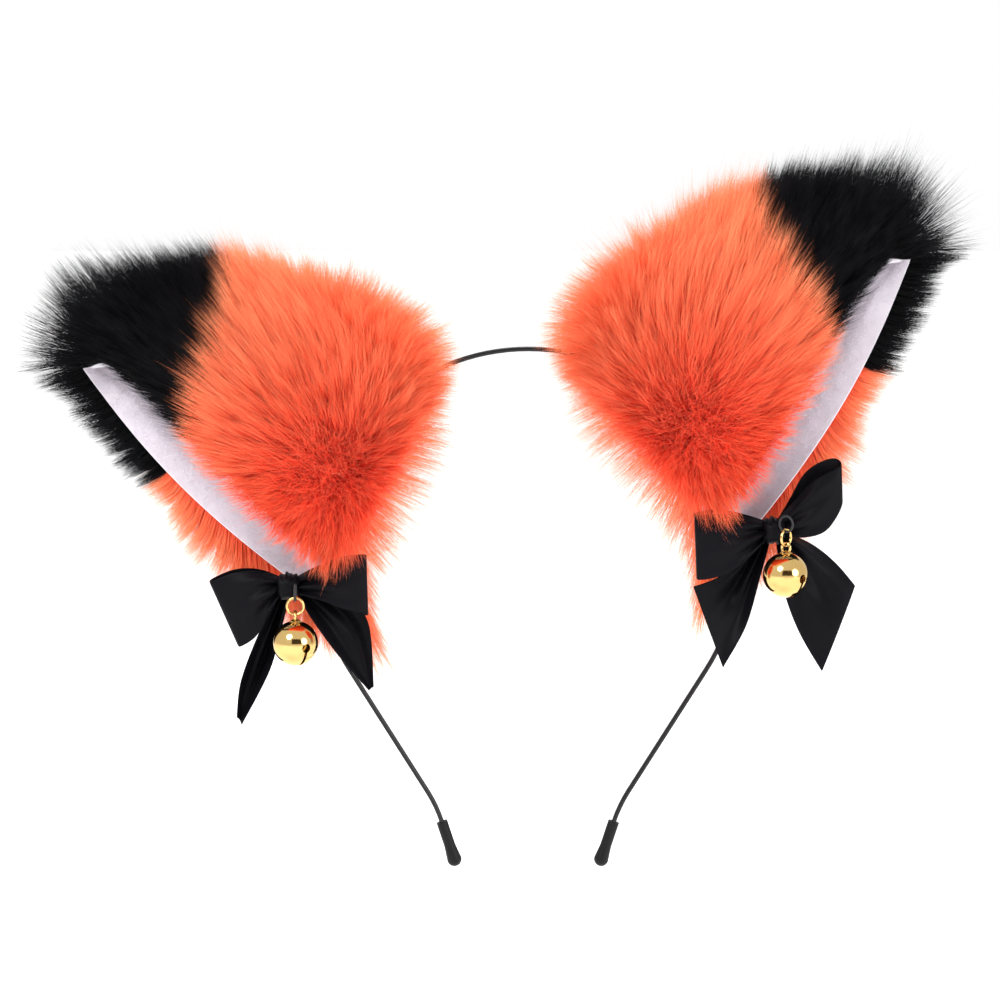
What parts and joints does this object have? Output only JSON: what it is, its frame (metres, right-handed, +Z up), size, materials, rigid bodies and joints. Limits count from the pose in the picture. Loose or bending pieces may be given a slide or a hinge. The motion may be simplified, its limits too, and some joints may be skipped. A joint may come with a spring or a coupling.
{
  "type": "animal ears headband",
  "caption": "Costume headband: a thin spring hoop with two cupped faux fur fox ears that slide on it, each with a satin bow and a hanging jingle bell.",
  "frame": {"origin": "centre of the hoop's round arc, where the head sits", "axes": "+X across the head along the hoop's width, -Y to the front, +Z up"},
  "size_m": [0.2518, 0.0602, 0.1898],
  "materials": {
    "black_enamel": "glossy black enamel over spring steel",
    "black_rubber": "soft black dipped rubber",
    "orange_fur": "long orange faux fur",
    "black_fur": "long black faux fur",
    "grey_felt": "stiff grey felt",
    "white_plush": "short white plush",
    "lining_cloth": "woven tape, folded to a channel",
    "black_satin": "black satin ribbon",
    "black_thread": "black sewing thread",
    "gold_plated": "polished gold plating",
    "steel": "plain steel ball"
  },
  "bodies": {
    "band": {"spring_band": "black_enamel", "left_end_cap": "black_rubber", "right_end_cap": "black_rubber"},
    "left_ear": {"left_band_channel": "lining_cloth", "left_bow_knot": "black_satin", "left_bow_loop_inner": "black_satin", "left_bow_loop_outer": "black_satin", "left_bow_tail_inner": "black_satin", "left_bow_tail_outer": "black_satin", "left_ear_fur_body": "orange_fur", "left_ear_fur_tip": "black_fur", "left_ear_plush_lining": "white_plush", "left_ear_stiffening_felt": "grey_felt", "left_thread_loop": "black_thread"},
    "left_ring": {"left_jump_ring": "gold_plated"},
    "left_bell": {"left_bell_eye": "gold_plated", "left_bell_shell": "gold_plated"},
    "left_pellet": {"left_bell_pellet": "steel"},
    "right_ear": {"right_band_channel": "lining_cloth", "right_bow_knot": "black_satin", "right_bow_loop_inner": "black_satin", "right_bow_loop_outer": "black_satin", "right_bow_tail_inner": "black_satin", "right_bow_tail_outer": "black_satin", "right_ear_fur_body": "orange_fur", "right_ear_fur_tip": "black_fur", "right_ear_plush_lining": "white_plush", "right_ear_stiffening_felt": "grey_felt", "right_thread_loop": "black_thread"},
    "right_ring": {"right_jump_ring": "gold_plated"},
    "right_bell": {"right_bell_eye": "gold_plated", "right_bell_shell": "gold_plated"},
    "right_pellet": {"right_bell_pellet": "steel"}
  },
  "joints": [
    {"name": "left_ear_slide", "type": "hinge", "parent": "band", "child": "left_ear", "pos_m": [0, 0, 0], "axis": [0, 1, 0], "range_deg": [-13, 6]},
    {"name": "left_ring_swing", "type": "hinge", "parent": "left_ear", "child": "left_ring", "pos_m": [-0.06171, -0.01895, -0.00855], "axis": [0, 1, 0], "range_deg": [-25, 25]},
    {"name": "left_bell_swing", "type": "hinge", "parent": "left_ring", "child": "left_bell", "pos_m": [-0.06171, -0.01895, -0.01223], "axis": [1, 0, 0], "range_deg": [-40, 4]},
    {"name": "left_pellet_rattle", "type": "slide", "parent": "left_bell", "child": "left_pellet", "axis": [0, 0, 1], "range_m": [0, 0.0068]},
    {"name": "right_ear_slide", "type": "hinge", "parent": "band", "child": "right_ear", "pos_m": [0, 0, 0], "axis": [0, 1, 0], "range_deg": [-2, 28]},
    {"name": "right_ring_swing", "type": "hinge", "parent": "right_ear", "child": "right_ring", "pos_m": [0.06787, -0.0182, 0.0096], "axis": [-0.766, 0.6428, 0], "range_deg": [-1.5, 25]},
    {"name": "right_bell_swing", "type": "hinge", "parent": "right_ring", "child": "right_bell", "pos_m": [0.06787, -0.0182, 0.00592], "axis": [0.6428, 0.766, 0], "range_deg": [-40, 1.5]},
    {"name": "right_pellet_rattle", "type": "slide", "parent": "right_bell", "child": "right_pellet", "axis": [0, 0, 1], "range_m": [0, 0.0068]}
  ]
}
